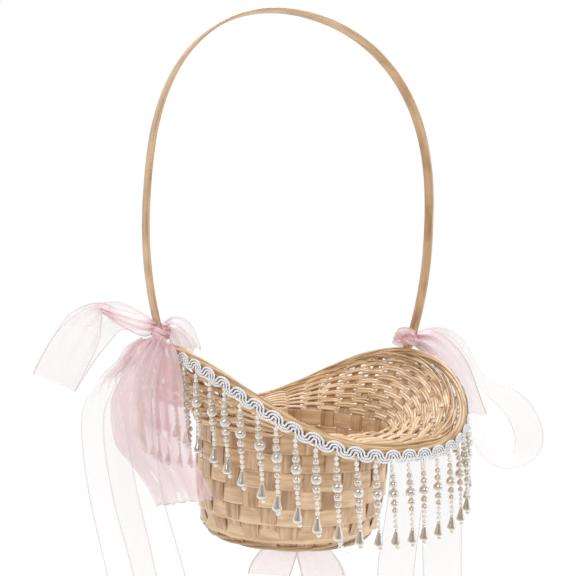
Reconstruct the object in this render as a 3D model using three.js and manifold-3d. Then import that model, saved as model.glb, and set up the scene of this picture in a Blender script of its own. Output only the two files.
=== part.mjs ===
// Flower girl basket: a boat-shaped woven basket on a tall bent-bamboo handle, trimmed with gimp braid,
// a fringe of pearl strands and organza bows. Millimetres, +Z up. The origin is where a hand carries it,
// on the underside of the handle at the top of its bend, so the whole basket hangs below z = 0.
// +X points to one foot of the handle, and the low sides of the rim face +Y and -Y.
import * as THREE from 'three';
import { mergeVertices } from 'three/addons/utils/BufferGeometryUtils.js';
import Module from 'manifold-3d';

const wasm = await Module();
wasm.setup();

// ---- driving dimensions -------------------------------------------------------------------------------

const GAP = 0.35; // clearance between pieces that touch on the real basket

// handle: one flat bamboo strip, bent into a tall hoop
const STRIP_THICK = 2;
const STRIP_WIDE = 10;
const HOOP_HALF = 126.5; // centreline, at the widest level
const HOOP_RISE = 153; // widest level up to the top of the bend
const HOOP_DROP = 185; // height of the quarter ellipse that the legs follow below the widest level
const HOOP_POWER_X = 0.95; // the top is a superellipse, a little squarer than an ellipse
const HOOP_POWER_Z = 0.76;
const LEG_CLEAR_Z = -240; // the legs are free of the weave above this level
const LEG_TUCK = 0.5; // how far down the flared wall the legs reach, as a share of the wall

// base and lower wall
const BASE_HALF_X = 61.7;
const BASE_HALF_Y = 58.1;
const BASE_Z = -378.5; // underside of the base hoop
const BASE_HOOP = 6; // height and width of the base hoop's bundle
const FLOOR_THICK = 2;
const BAND_TOP = 78; // height of the lower wall's top above BASE_Z
const BAND_THICK = 2.4;
const BULGE = 12.5; // how far the lower wall leans out, most of it near its foot
const BULGE_RISE = 20;

// rim, boat-shaped: high at the handle's feet, low at the two sides
const RIM_HALF_X = 110.6; // outside of the rim hoop
const RIM_HALF_Y = 122.3;
const RIM_POWER_X = 0.75;
const RIM_POWER_Y = 0.94;
const RIM_SIDE_Z = -298; // top of the rim at the low sides
const RIM_END_Z = -245; // top of the rim at the handle's feet
const RIM_POWER_Z = 2.08;
const RIM_RADIUS = 3;
const FLARE_THICK = 5;

// gimp braid and pearl fringe
const BRAID_THICK = 1.2;
const BRAID_ABOVE = 2.5; // braid's top edge above the rim hoop's centre
const BRAID_BELOW = 7.1; // braid's lower edge below it
const STRANDS = 62;
const PER_NODE = 2; // neighbouring strands that hang on one piece of header tape
const TAPE = 1.2;
const STRAND_PROFILE = [ // radius and depth below the braid: seeds, graded pearls, seeds, teardrop, seed
  [0, 0], [1.1, -0.7], [1.1, -7.3], [2.25, -12.5], [3.2, -18.9], [2.25, -25.2], [1.1, -30.4], [1.1, -38.1],
  [2.9, -46.6], [0, -50.4],
];

// organza ribbon
const RIBBON_WIDE = 32;
const RIBBON_THICK = 0.8;
const KNOT_Z = -236;
const KNOT_RADII = [7.5, 9, 7.8];
const BOW_RIGHT = new THREE.Vector3(0.83, -0.558, 0); // the way the two bows spread, seen from the front left
const BOW_FRONT = new THREE.Vector3(-0.558, -0.83, 0); // square to it, towards the front left
const TAIL_END = -220; // tails' lower ends, measured from the knots

// ---- finishes -----------------------------------------------------------------------------------------

const finish = (color, roughness) => new THREE.MeshStandardMaterial({ color, roughness, metalness: 0 });
const BAMBOO = finish(0xc49a6c, 0.45);
const SPLINT = finish(0xc9a177, 0.5);
const WICKER = finish(0xd0a873, 0.5);
const BRAID = finish(0xe6e4ee, 0.5);
const PEARL = finish(0xefe6d8, 0.2);
const ORGANZA = finish(0xf2d9dd, 0.6);

// ---- small tools --------------------------------------------------------------------------------------

const basket = new THREE.Group();

function add(name, geometry, material) {
  const mesh = new THREE.Mesh(geometry, material);
  mesh.name = name;
  basket.add(mesh);
}

function toSolid(geometry) {
  const bare = geometry.clone();
  bare.deleteAttribute('normal');
  bare.deleteAttribute('uv');
  const merged = mergeVertices(bare, 1e-4);
  const triVerts = new Uint32Array(merged.index.array);
  return new wasm.Manifold(new wasm.Mesh({ numProp: 3, vertProperties: merged.attributes.position.array, triVerts }));
}

function toGeometry(solid) {
  const mesh = solid.getMesh();
  const geometry = new THREE.BufferGeometry();
  geometry.setAttribute('position', new THREE.BufferAttribute(mesh.vertProperties, 3));
  geometry.setIndex(new THREE.BufferAttribute(mesh.triVerts, 1));
  return geometry;
}

// Moves every vertex of a geometry to where place(vertex) says.
function remap(geometry, place) {
  const position = geometry.attributes.position;
  const vertex = new THREE.Vector3();
  for (let i = 0; i < position.count; i++) {
    vertex.fromBufferAttribute(position, i);
    const moved = place(vertex);
    position.setXYZ(i, moved.x, moved.y, moved.z);
  }
  geometry.computeVertexNormals();
  return geometry;
}

// A closed ring: a section of [offset, level] points is turned once round, then each vertex goes to
// place(angle, offset, level).
const RING_RADIUS = 100;
function ring(section, segments, place) {
  const closed = [...section, section[0]].map(([offset, level]) => new THREE.Vector2(RING_RADIUS + offset, level));
  const lathe = new THREE.LatheGeometry(closed, segments);
  return remap(lathe, (v) => place(Math.atan2(v.x, v.z), Math.hypot(v.x, v.z) - RING_RADIUS, v.y));
}

// A ribbon: a flat box, long and wide and thin, whose points go to place(along 0..1, across -0.5..0.5, up mm).
function ribbon(steps, across, thick, place) {
  const box = new THREE.BoxGeometry(1, 1, thick, steps, across, 1);
  return remap(box, (v) => place(v.x + 0.5, v.y, v.z));
}

const signedPower = (value, power) => Math.sign(value) * Math.abs(value) ** power;
const mix = (a, b, t) => a + (b - a) * t;

// ---- the basket's form --------------------------------------------------------------------------------

// Centreline of the rim hoop at a plan angle.
function rimCentre(angle) {
  const c = Math.cos(angle);
  const x = signedPower(c, RIM_POWER_X) * (RIM_HALF_X - RIM_RADIUS);
  const y = signedPower(Math.sin(angle), RIM_POWER_Y) * (RIM_HALF_Y - RIM_RADIUS);
  const z = mix(RIM_SIDE_Z, RIM_END_Z, Math.abs(c) ** RIM_POWER_Z) - RIM_RADIUS;
  return new THREE.Vector3(x, y, z);
}

// Level direction square to the rim, pointing out.
function rimOutward(angle) {
  const step = 0.01;
  const along = rimCentre(angle + step).sub(rimCentre(angle - step));
  return new THREE.Vector3(along.y, -along.x, 0).normalize();
}

// Middle of the lower wall, at a height above BASE_Z.
function bandPoint(angle, height) {
  const out = BULGE * (1 - Math.exp(-height / BULGE_RISE)) - BAND_THICK;
  return new THREE.Vector3((BASE_HALF_X + out) * Math.cos(angle), (BASE_HALF_Y + out) * Math.sin(angle), BASE_Z + height);
}

// Middle of the flared upper wall: share 0 at the lower wall's top, 1 just inside the rim hoop.
function flarePoint(angle, share) {
  const foot = bandPoint(angle, BAND_TOP);
  const rim = rimCentre(angle);
  const inward = foot.clone().sub(rim).setLength(RIM_RADIUS + GAP);
  const top = rim.add(inward);
  const out = 0.8 * share + 0.2 * share * share;
  const up = 1.2 * share - 0.2 * share * share;
  return new THREE.Vector3(mix(foot.x, top.x, out), mix(foot.y, top.y, out), mix(foot.z, top.z, up));
}

// Outward normal of the flared wall. At its foot it is level, so that the wall starts on a flat edge.
function flareNormal(angle, share) {
  const step = 0.01;
  const along = flarePoint(angle + step, share).sub(flarePoint(angle - step, share));
  const rise = flarePoint(angle, share + step).sub(flarePoint(angle, share - step));
  const square = along.cross(rise).normalize();
  const level = new THREE.Vector3(square.x, square.y, 0).normalize();
  return level.lerp(square, Math.min(1, share * 4)).normalize();
}

// ---- woven shell --------------------------------------------------------------------------------------

function wovenFloor() {
  const inset = BASE_HOOP + GAP;
  const disc = new THREE.CylinderGeometry(1, 1, FLOOR_THICK, 48).rotateX(Math.PI / 2);
  return remap(disc, (v) => {
    const z = BASE_Z + BASE_HOOP / 2 + v.z;
    return new THREE.Vector3(v.x * (BASE_HALF_X - inset), v.y * (BASE_HALF_Y - inset), z);
  });
}

function baseHoop() {
  const section = [[-BASE_HOOP, 0.8], [-BASE_HOOP + 1, 0], [-1, 0], [0, 1.5], [0, 4.5], [-1.2, 6], [-BASE_HOOP, 6]];
  return ring(section, 48, (angle, offset, level) => {
    const x = (BASE_HALF_X + offset) * Math.cos(angle);
    const y = (BASE_HALF_Y + offset) * Math.sin(angle);
    return new THREE.Vector3(x, y, BASE_Z + level);
  });
}

function lowerWall() {
  const half = BAND_THICK / 2;
  const levels = [BASE_HOOP + GAP, 20, 42, BAND_TOP - 2 * GAP];
  const section = [...levels.map((h) => [half, h]), ...levels.reverse().map((h) => [-half, h])];
  return ring(section, 64, (angle, offset, height) => {
    return bandPoint(angle, height).addScaledVector(flareNormal(angle, 0), offset);
  });
}

function upperWall() {
  const shares = [0, 0.3, 0.65, 1];
  const section = [...shares.map((s) => [1, s]), ...shares.reverse().map((s) => [-1, s])];
  return ring(section, 64, (angle, side, share) => {
    const half = mix(BAND_THICK, FLARE_THICK, Math.min(1, share * 3)) / 2;
    return flarePoint(angle, share).addScaledVector(flareNormal(angle, share), side * half);
  });
}

function rimHoop() {
  const sides = 8;
  const section = [];
  for (let i = 0; i < sides; i++) {
    const turn = (2 * Math.PI * i) / sides;
    section.push([RIM_RADIUS * Math.cos(turn), RIM_RADIUS * Math.sin(turn)]);
  }
  return ring(section, 64, (angle, offset, level) => {
    return rimCentre(angle).addScaledVector(rimOutward(angle), offset).add(new THREE.Vector3(0, 0, level));
  });
}

// ---- handle -------------------------------------------------------------------------------------------

// Half of the handle's centreline in the XZ plane, from the top of the bend to the end of the leg.
function halfHoop(tuck) {
  const widest = STRIP_THICK / 2 - HOOP_RISE;
  const points = [];
  const topSteps = 26;
  for (let i = 0; i <= topSteps; i++) {
    const turn = (Math.PI / 2) * (1 - i / topSteps);
    const x = HOOP_HALF * Math.cos(turn) ** HOOP_POWER_X;
    points.push(new THREE.Vector2(x, widest + HOOP_RISE * Math.sin(turn) ** HOOP_POWER_Z));
  }
  const legSteps = 8;
  for (let i = 1; i <= legSteps; i++) {
    const z = mix(widest, LEG_CLEAR_Z, i / legSteps);
    points.push(new THREE.Vector2(HOOP_HALF * Math.sqrt(1 - ((z - widest) / HOOP_DROP) ** 2), z));
  }
  const rim = rimCentre(0);
  points.push(new THREE.Vector2(rim.x, rim.z));
  const tuckSteps = 5;
  for (let i = 1; i <= tuckSteps; i++) {
    const point = flarePoint(0, mix(1, 1 - tuck, i / tuckSteps));
    points.push(new THREE.Vector2(point.x, point.z));
  }
  return points;
}

// A band of even thickness along a flat path, as wide as wide in Y.
function stripAlong(points, thick, wide) {
  const outer = [];
  const inner = [];
  points.forEach((point, i) => {
    const before = points[Math.max(i - 1, 0)];
    const after = points[Math.min(i + 1, points.length - 1)];
    const along = after.clone().sub(before).normalize();
    const side = new THREE.Vector2(-along.y, along.x).multiplyScalar(thick / 2);
    outer.push(point.clone().add(side));
    inner.unshift(point.clone().sub(side));
  });
  const shape = new THREE.Shape([...outer, ...inner]);
  const strip = new THREE.ExtrudeGeometry(shape, { depth: wide, bevelEnabled: false });
  return strip.translate(0, 0, -wide / 2).rotateX(Math.PI / 2);
}

const rightHalf = halfHoop(LEG_TUCK);
const leftHalf = rightHalf.slice(1).reverse().map((p) => new THREE.Vector2(-p.x, p.y));
const handlePath = [...leftHalf, ...rightHalf];
const deepHalf = halfHoop(LEG_TUCK + 0.03);
const deepLeft = deepHalf.slice(1).reverse().map((p) => new THREE.Vector2(-p.x, p.y));
const handleSlot = toSolid(stripAlong([...deepLeft, ...deepHalf], STRIP_THICK + 2 * GAP, STRIP_WIDE + 2 * GAP));
const slotted = (geometry) => toGeometry(toSolid(geometry).subtract(handleSlot));

// ---- braid and pearl fringe ---------------------------------------------------------------------------

const braidMiddle = RIM_RADIUS + GAP + BRAID_THICK / 2;

function gimpBraid() {
  const near = braidMiddle - BRAID_THICK / 2;
  const far = braidMiddle + BRAID_THICK / 2;
  const section = [[near, -BRAID_BELOW], [far, -BRAID_BELOW], [far, BRAID_ABOVE], [near, BRAID_ABOVE]];
  return ring(section, 62, (angle, offset, level) => {
    return rimCentre(angle).addScaledVector(rimOutward(angle), offset).add(new THREE.Vector3(0, 0, level));
  });
}

// Plan angles that share the braid's lower edge into equal lengths.
function evenAngles(count) {
  const steps = 1440;
  const lengths = [0];
  for (let i = 1; i <= steps; i++) {
    const a = rimCentre((2 * Math.PI * (i - 1)) / steps);
    lengths.push(lengths[i - 1] + a.distanceTo(rimCentre((2 * Math.PI * i) / steps)));
  }
  const angles = [];
  for (let i = 0; i < count; i++) {
    const want = (lengths[steps] * (i + 0.5)) / count;
    const after = lengths.findIndex((length) => length >= want);
    const part = (want - lengths[after - 1]) / (lengths[after] - lengths[after - 1]);
    angles.push((2 * Math.PI * (after - 1 + part)) / steps);
  }
  return angles;
}

function strandTop(angle) {
  const drop = new THREE.Vector3(0, 0, -BRAID_BELOW - GAP);
  return rimCentre(angle).addScaledVector(rimOutward(angle), braidMiddle).add(drop);
}

function strandSolid(top) {
  const profile = STRAND_PROFILE.map(([radius, depth]) => new THREE.Vector2(radius, depth)).reverse();
  const lathe = new THREE.LatheGeometry(profile, 6).rotateX(Math.PI / 2);
  return toSolid(lathe.translate(top.x, top.y, top.z));
}

function tapeSolid(a, b) {
  const along = b.clone().sub(a);
  const tape = new THREE.BoxGeometry(along.length(), TAPE, TAPE);
  const turn = new THREE.Matrix4().makeBasis(
    along.clone().normalize(),
    new THREE.Vector3(-along.y, along.x, 0).normalize(),
    along.clone().cross(new THREE.Vector3(-along.y, along.x, 0)).normalize(),
  );
  const middle = a.clone().add(b).multiplyScalar(0.5);
  return toSolid(tape.applyMatrix4(turn).translate(middle.x, middle.y, middle.z - TAPE));
}

function addFringe() {
  const tops = evenAngles(STRANDS).map(strandTop);
  for (let node = 0; node < STRANDS / PER_NODE; node++) {
    const mine = tops.slice(node * PER_NODE, (node + 1) * PER_NODE);
    let solid = tapeSolid(mine[0], mine[PER_NODE - 1]);
    for (const top of mine) solid = solid.add(strandSolid(top));
    add(`pearl_strands_${String(node + 1).padStart(2, '0')}`, toGeometry(solid), PEARL);
  }
}

// ---- organza bows -------------------------------------------------------------------------------------

const knotAt = (side) => new THREE.Vector3(side * 111, 0, KNOT_Z);

// A point given from a bow's knot: to the bow's right, up, and to its front.
function fromKnot(knot, right, up, front) {
  const point = knot.clone().addScaledVector(BOW_RIGHT, right).addScaledVector(BOW_FRONT, front);
  return point.add(new THREE.Vector3(0, 0, up));
}

// A flat ribbon that faces front: its middle follows the curve's [right, up, front] points, and its width
// opens from narrow at the knot to full.
function facingRibbon(knot, points, steps, thick = RIBBON_THICK, wide = RIBBON_WIDE, openBy = 0.25) {
  const curve = new THREE.CatmullRomCurve3(points.map(([r, u, f]) => new THREE.Vector3(r, u, f)));
  return ribbon(steps, 2, thick, (along, across, up) => {
    const p = curve.getPoint(along);
    const width = wide * mix(0.22, 1, Math.min(1, along / openBy));
    return fromKnot(knot, p.x + across * width, p.y, p.z + up);
  });
}

// A loop of ribbon seen on edge: its path is [right, up] points and its width runs front to back. It is
// narrow at the knot, and its middle lies as far to the front as front says.
function loopSolid(knot, points, front) {
  const curve = new THREE.SplineCurve(points.map(([right, up]) => new THREE.Vector2(right, up)));
  return toSolid(ribbon(18, 1, RIBBON_THICK, (along, across, up) => {
    const p = curve.getPoint(along);
    const t = curve.getTangent(along);
    const open = Math.min(1, Math.min(along, 1 - along) * 6);
    const wide = RIBBON_WIDE * mix(0.25, 1, open);
    return fromKnot(knot, p.x - t.y * up, p.y + t.x * up, front * open - across * wide);
  }));
}

function knotSolid(knot, radii) {
  const ball = new THREE.SphereGeometry(1, 12, 8).rotateX(Math.PI / 2).scale(...radii);
  return toSolid(ball.translate(knot.x, knot.y, knot.z));
}

const LEFT_LOOP = [[-2, 2], [-20, 15], [-45, 17], [-68, -8], [-80, -34], [-66, -38], [-54, -14], [-30, -2], [-2, -2]];
const LEFT_SMALL = [[2, 2], [9, 8], [17, 5], [19, -8], [12, -8], [2, -2]];
const RIGHT_LOOP = [
  [2, 2], [34, 6], [66, -16], [94, -34], [114, -68], [108, -92], [88, -100], [66, -88], [60, -60], [42, -22], [2, -2],
];
const RIGHT_SMALL = [[-2, 2], [-10, 5], [-13, 0], [-9, -4], [-2, -2]];

function bow(side, front, loops) {
  const knot = knotAt(side);
  let solid = knotSolid(knot, KNOT_RADII);
  for (const points of loops) solid = solid.add(loopSolid(knot, points, front));
  return toGeometry(solid.subtract(handleSlot));
}

// The gathered fall of organza below the left knot: a panel that bends round the end of the rim, clear of
// the pearl strands behind it. It is narrow at the knot and wide at its hem.
function leftDrape() {
  const clear = braidMiddle + 6;
  return ribbon(6, 6, 2, (along, across, up) => {
    const width = mix(0.14, 0.75, Math.min(1, along * 1.5));
    const angle = Math.PI + across * width + 0.12 * along;
    const point = rimCentre(angle).addScaledVector(rimOutward(angle), clear + up);
    point.z = mix(RIM_END_Z - 5, -345, along);
    return point;
  });
}

const LEFT_TAIL_FRONT = [[0, -4, 12], [-3, -14, 22], [-12, -50, 34], [-3, -95, 36], [17, -158, 30], [26, TAIL_END, 26]];
const LEFT_TAIL_BACK = [[-9, -6, 3], [-17, -14, 7], [-23, -30, 10], [-27, -55, 13], [-19, -100, 20], [-3, -160, 15], [4, TAIL_END, 8]];
const RIGHT_DRAPE = [[9, -4, 5], [25, -8, 8], [42, -26, 8], [50, -58, 6]];
const RIGHT_TAIL_FRONT = [[8, -10, -2], [20, -30, -5], [26, -60, -5], [34, -130, -4], [42, TAIL_END, -4]];
const RIGHT_TAIL_BACK = [[3, -9, -8], [5, -30, -20], [6, -60, -28], [6, -130, -28], [9, TAIL_END, -28]];

const LOWER_KNOT = new THREE.Vector3(4, 0, BASE_Z + 1.5 - 6);
const LOWER_LOOP = [[2, 1], [14, 1], [30, -8], [40, -26], [34, -36], [18, -24], [2, -2]];

function lowerBow() {
  const loops = [LOWER_LOOP, LOWER_LOOP.map(([right, up]) => [-right, up])];
  let solid = knotSolid(LOWER_KNOT, [6, 6, 5]);
  for (const points of loops) solid = solid.add(loopSolid(LOWER_KNOT, points, 0));
  return toGeometry(solid);
}

// ---- assembly -----------------------------------------------------------------------------------------

add('woven_floor', wovenFloor(), SPLINT);
add('base_hoop', baseHoop(), WICKER);
add('lower_wall', lowerWall(), SPLINT);
add('upper_wall', slotted(upperWall()), WICKER);
add('rim_hoop', slotted(rimHoop()), WICKER);
add('handle', stripAlong(handlePath, STRIP_THICK, STRIP_WIDE), BAMBOO);
add('gimp_braid', gimpBraid(), BRAID);
addFringe();
add('left_bow', bow(-1, 0, [LEFT_LOOP, LEFT_SMALL]), ORGANZA);
add('left_drape', leftDrape(), ORGANZA);
add('left_tail_front', facingRibbon(knotAt(-1), LEFT_TAIL_FRONT, 10), ORGANZA);
add('left_tail_back', facingRibbon(knotAt(-1), LEFT_TAIL_BACK, 10), ORGANZA);
add('right_bow', bow(1, -18, [RIGHT_LOOP, RIGHT_SMALL]), ORGANZA);
add('right_drape', facingRibbon(knotAt(1), RIGHT_DRAPE, 6), ORGANZA);
add('right_tail_front', facingRibbon(knotAt(1), RIGHT_TAIL_FRONT, 10), ORGANZA);
add('right_tail_back', facingRibbon(knotAt(1), RIGHT_TAIL_BACK, 10), ORGANZA);
add('lower_bow', lowerBow(), ORGANZA);

export default basket;
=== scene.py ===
"""The looks of a flower girl basket: woven splint and wicker, a bent bamboo handle, gimp braid, a pearl
fringe and organza bows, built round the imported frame.

Lengths are in millimetres until a mesh is made. The basket's form is a set of formulas of the plan angle: 0
is the handle's foot on +X, and the low sides of the rim face +Y and -Y."""

import math

import bmesh
import bpy
import numpy as np
from mathutils import Matrix, Vector


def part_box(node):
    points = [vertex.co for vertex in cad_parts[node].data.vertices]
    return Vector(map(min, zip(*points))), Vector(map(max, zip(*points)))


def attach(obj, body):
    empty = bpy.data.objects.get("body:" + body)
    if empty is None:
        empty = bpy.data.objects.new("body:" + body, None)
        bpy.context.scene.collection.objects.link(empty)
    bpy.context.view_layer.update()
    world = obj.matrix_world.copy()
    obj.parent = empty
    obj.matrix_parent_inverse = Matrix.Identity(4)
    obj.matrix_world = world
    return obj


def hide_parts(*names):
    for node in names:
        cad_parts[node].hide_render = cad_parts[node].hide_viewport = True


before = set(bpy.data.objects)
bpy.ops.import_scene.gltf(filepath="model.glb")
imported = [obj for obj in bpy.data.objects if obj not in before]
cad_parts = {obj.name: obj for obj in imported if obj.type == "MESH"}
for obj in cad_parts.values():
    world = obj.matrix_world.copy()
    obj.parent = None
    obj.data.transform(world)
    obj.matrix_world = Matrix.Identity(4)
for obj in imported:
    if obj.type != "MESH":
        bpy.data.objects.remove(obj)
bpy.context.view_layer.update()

MM = 0.001
TAU = 2 * math.pi
chance = np.random.default_rng(11)


def box_mm(node):
    """A node's lowest and highest corners in millimetres."""
    low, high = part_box(node)
    return np.array(low) / MM, np.array(high) / MM


# ---- sizes, from the frame where it has them ------------------------------------------------------------

rim_low, rim_high = box_mm("rim_hoop")
base_low, base_high = box_mm("base_hoop")
handle_low, handle_high = box_mm("handle")

RIM_HALF = rim_high[:2]
RIM_RADIUS = 3.0
RIM_POWER = (0.75, 0.94)
RIM_SIDE_Z = rim_low[2] + 2 * RIM_RADIUS
RIM_END_Z = rim_high[2]
RIM_POWER_Z = 2.08
BASE_HALF = base_high[:2]
BASE_Z = base_low[2]
BASE_TALL = base_high[2] - base_low[2]
FOOT_IN = 1.9  # the foot's rods lie this far inside the base hoop's outline
FOOT_RISE = 3.7  # and this far above its underside
BAND_TOP = 78.0
BAND_THICK = 2.4
BULGE = 12.5
BULGE_RISE = 20.0

STAKES = 32
STAKE_WIDE = 11.2
SPLINT_THICK = 0.7
SPLINT_OUT = 0.75  # how far a row swings out and in as it passes the stakes
STAKE_OUT = 0.45  # and how far a stake does as it passes the rows
WALL_FOOT = BASE_TALL + 0.3
BAND_ROWS = 6
BAND_PITCH = (BAND_TOP - WALL_FOOT) / BAND_ROWS
FLARE_ROWS = 13
FLARE_STEP = 0.5 / (FLARE_ROWS + 0.25)  # half a row's share of the flare
FLARE_FOOT = 0.55  # rows before the first one's middle
WICKER = 1.25
WEAVER_OUT = 1.35
RIM_RODS = 5
RIM_CLIMBERS = 16
FOOT_RODS = 5
FLOOR_PITCH = 10.6
FLOOR_WIDE = 9.9

STRIP_THICK = 2.0
STRIP_WIDE = handle_high[1] - handle_low[1]
HOOP_HALF = 126.5
HOOP_RISE = 153.0
HOOP_DROP = 185.0

STRANDS = 62
PER_NODE = 2
BRAID_OUT = 3.95
BRAID_ABOVE = 2.5
BRAID_TALL = 9.6
STRAND_LEAN = math.radians(5.5)  # the basket hangs a little aslant, so its strands lean in its frame

RIBBON = 32.0
KNOTS = {"left": np.array([-111.0, 0, -238.0]), "right": np.array([111.0, 0, -238.0])}
LOWER_KNOT = np.array([7.5, -2.0, BASE_Z - 4.5])
BOW_RIGHT = np.array([0.83, -0.558, 0])  # the bows' plane: its right, and the way it faces
BOW_FRONT = np.array([-0.558, -0.83, 0])
UP = np.array([0, 0, 1.0])

# ---- camera --------------------------------------------------------------------------------------------

CAMERA_TARGET = Vector((-7.3, 6.7, -202.7)) * MM
CAMERA_AZIMUTH = math.radians(-33.95)
CAMERA_ELEVATION = math.radians(-1.67)
CAMERA_ROLL = math.radians(3.0)
CAMERA_DISTANCE = 0.572
CAMERA_LENS = 48.06


def make_camera():
    """A camera on a sphere round its target, rolled about its own axis."""
    a, e = CAMERA_AZIMUTH, CAMERA_ELEVATION
    back = Vector((math.sin(a) * math.cos(e), -math.cos(a) * math.cos(e), math.sin(e)))
    right = Vector((math.cos(a), math.sin(a), 0))
    up = back.cross(right)
    across = right * math.cos(CAMERA_ROLL) + up * math.sin(CAMERA_ROLL)
    upright = back.cross(across)
    turn = Matrix((across, upright, back)).transposed().to_4x4()
    data = bpy.data.cameras.new("camera")
    data.lens = CAMERA_LENS
    data.sensor_width = 36
    data.clip_start = 0.01
    data.clip_end = 50
    camera = bpy.data.objects.new("camera", data)
    camera.matrix_world = Matrix.Translation(CAMERA_TARGET + back * CAMERA_DISTANCE) @ turn
    bpy.context.collection.objects.link(camera)
    bpy.context.scene.camera = camera


# ---- shader tools --------------------------------------------------------------------------------------


class Value:
    """A shader number: wraps an output socket, so that arithmetic on it adds Math nodes."""

    def __init__(self, look, socket):
        self.look = look
        self.socket = socket

    def math(self, operation, first, second):
        return self.look.node("Math", {"operation": operation}, {0: first, 1: second})

    def __add__(self, other):
        return self.math("ADD", self, other)

    def __sub__(self, other):
        return self.math("SUBTRACT", self, other)

    def __rsub__(self, other):
        return self.math("SUBTRACT", other, self)

    def __mul__(self, other):
        return self.math("MULTIPLY", self, other)

    __radd__ = __add__
    __rmul__ = __mul__


class Nodes:
    """Adds nodes to one tree; values are plain numbers and colours, or Values."""

    def __init__(self, tree):
        self.tree = tree

    def node(self, kind, settings, inputs, out=0):
        """Adds a node of that kind, sets its settings, then its sockets' values or links."""
        made = self.tree.nodes.new("ShaderNode" + kind)
        for key, value in settings.items():
            setattr(made, key, value)
        for key, value in inputs.items():
            self.put(made.inputs[key], value)
        return Value(self, made.outputs[out])

    def put(self, socket, value):
        """Links a Value to a socket, or sets a plain value there."""
        if isinstance(value, Value):
            self.tree.links.new(value.socket, socket)
        else:
            socket.default_value = value

    def mix(self, factor, a, b):
        """Colour a at factor 0 and b at factor 1."""
        a, b = (value if isinstance(value, Value) else (*value, 1) for value in (a, b))
        return self.node("Mix", {"data_type": "RGBA"}, {"Factor": factor, 6: a, 7: b}, 2)

    def noise(self, vector, scale, detail=3.0):
        return self.node("TexNoise", {}, {"Vector": vector, "Scale": scale, "Detail": detail})

    def above(self, value, low, high):
        """0 below low, 1 above high, smooth between."""
        settings = {"interpolation_type": "SMOOTHSTEP"}
        return self.node("MapRange", settings, {"Value": value, "From Min": low, "From Max": high})


class Look(Nodes):
    """One material: a Principled shader and the nodes that feed it."""

    def __init__(self, name, **constants):
        self.material = bpy.data.materials.new(name)
        self.material.use_nodes = True
        super().__init__(self.material.node_tree)
        self.shader = self.tree.nodes["Principled BSDF"]
        self.feed(**constants)

    def feed(self, **values):
        """Sets or links the shader's sockets, whose spaces are written as underscores."""
        for key, value in values.items():
            self.put(self.shader.inputs[key.replace("_", " ")], value)

    def attribute(self, name):
        return self.node("Attribute", {"attribute_name": name}, {}, "Fac")

    def ramp(self, factor, *stops):
        """A colour ramp of (place, colour) stops."""
        made = self.tree.nodes.new("ShaderNodeValToRGB")
        elements = made.color_ramp.elements
        for i, (place, colour) in enumerate(stops):
            element = elements[i] if i < 2 else elements.new(place)
            element.position = place
            element.color = (*colour, 1)
        self.put(made.inputs[0], factor)
        return Value(self, made.outputs[0])

    def uv(self):
        return self.node("UVMap", {"uv_map": "UVMap"}, {})

    def stretched(self, lengthways, sideways):
        """The piece's UV map, scaled along and across the fibre."""
        return self.node("Mapping", {}, {"Vector": self.uv(), "Scale": (lengthways, sideways, 1.0)})

    def bump(self, height, strength, distance):
        inputs = {"Height": height, "Strength": strength, "Distance": distance}
        self.feed(Normal=self.node("Bump", {}, inputs))


def fibre_look(name, dark, middle, light, roughness, fibre):
    """Varnished bamboo or wicker: fine streaks along the fibre, broader bands, a tone of its own for each
    strip and a few darker flecks. UV runs in centimetres along the strip."""
    look = Look(name, Coat_Weight=0.3, Coat_Roughness=0.18, IOR=1.5)
    tone = look.attribute("tone")
    streak = look.noise(look.stretched(0.35, fibre), 1.0, 5.0)
    band = look.noise(look.stretched(0.5, fibre * 0.22), 1.0, 2.0)
    fleck = look.above(look.noise(look.stretched(3.0, fibre * 0.5), 1.0, 2.0), 0.70, 0.80)
    blend = tone * 0.5 + (streak - 0.5) * 1.7 + (band - 0.5) * 0.9 + 0.22
    colour = look.ramp(blend, (0.05, dark), (0.45, middle), (0.9, light))
    look.feed(Base_Color=look.mix(fleck * 0.45, colour, dark), Roughness=roughness + streak * 0.2)
    look.bump(streak, 0.5, 0.0005)
    return look.material


def bamboo_look():
    dark, middle, light = (0.33, 0.175, 0.075), (0.52, 0.325, 0.17), (0.67, 0.455, 0.275)
    return fibre_look("bent bamboo", dark, middle, light, 0.30, 7.0)


def splint_look():
    dark, middle, light = (0.39, 0.225, 0.115), (0.62, 0.41, 0.24), (0.83, 0.61, 0.39)
    return fibre_look("flat splint", dark, middle, light, 0.30, 17.0)


def wicker_look(name, dark, middle, light):
    return fibre_look(name, dark, middle, light, 0.26, 3.0)


def pearl_look(name, deep, pale, metal, roughness):
    """Imitation pearl under a clear coat: deep and warm face on and paler at a slant, partly a pearly lustre
    and partly a painted reflection, of the dark front at its centre and the bright surround at its rim.
    """
    look = Look(name, Coat_Weight=0.9, Coat_Roughness=0.06, IOR=1.55, Metallic=metal)
    # painted reflection with the lustre: pale at the rim where the bright surround would mirror, deep face on
    slant = look.above(look.node("LayerWeight", {}, {"Blend": 0.5}, "Facing"), 0.1, 0.75)
    place = look.node("TexCoord", {}, {}, "Object")
    cloud = look.noise(place, 260.0, 2.0)
    look.feed(Base_Color=look.mix(slant, deep, pale), Roughness=roughness + cloud * 0.1)
    return look.material


def cord_look(name, shade, colour, twist):
    """Twisted cord: UV runs in centimetres along it and once round it, and the ply is slanting ridges, with
    painted shade in the grooves between them.
    """
    look = Look(name, Sheen_Weight=0.3, Sheen_Roughness=0.4)
    parts = look.tree.nodes.new("ShaderNodeSeparateXYZ")
    look.put(parts.inputs[0], look.uv())
    along, around = (Value(look, parts.outputs[k]) for k in range(2))
    phase = (along * twist + around * 2.0) * TAU
    ridge = look.node("Math", {"operation": "SINE"}, {0: phase}) * 0.5 + 0.5
    # the grooves take the shade colour: painted shade between the plies
    look.feed(Base_Color=look.mix(ridge, shade, colour), Roughness=0.35 + ridge * 0.15)
    look.bump(ridge, 0.6, 0.0003)
    return look.material


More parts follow.
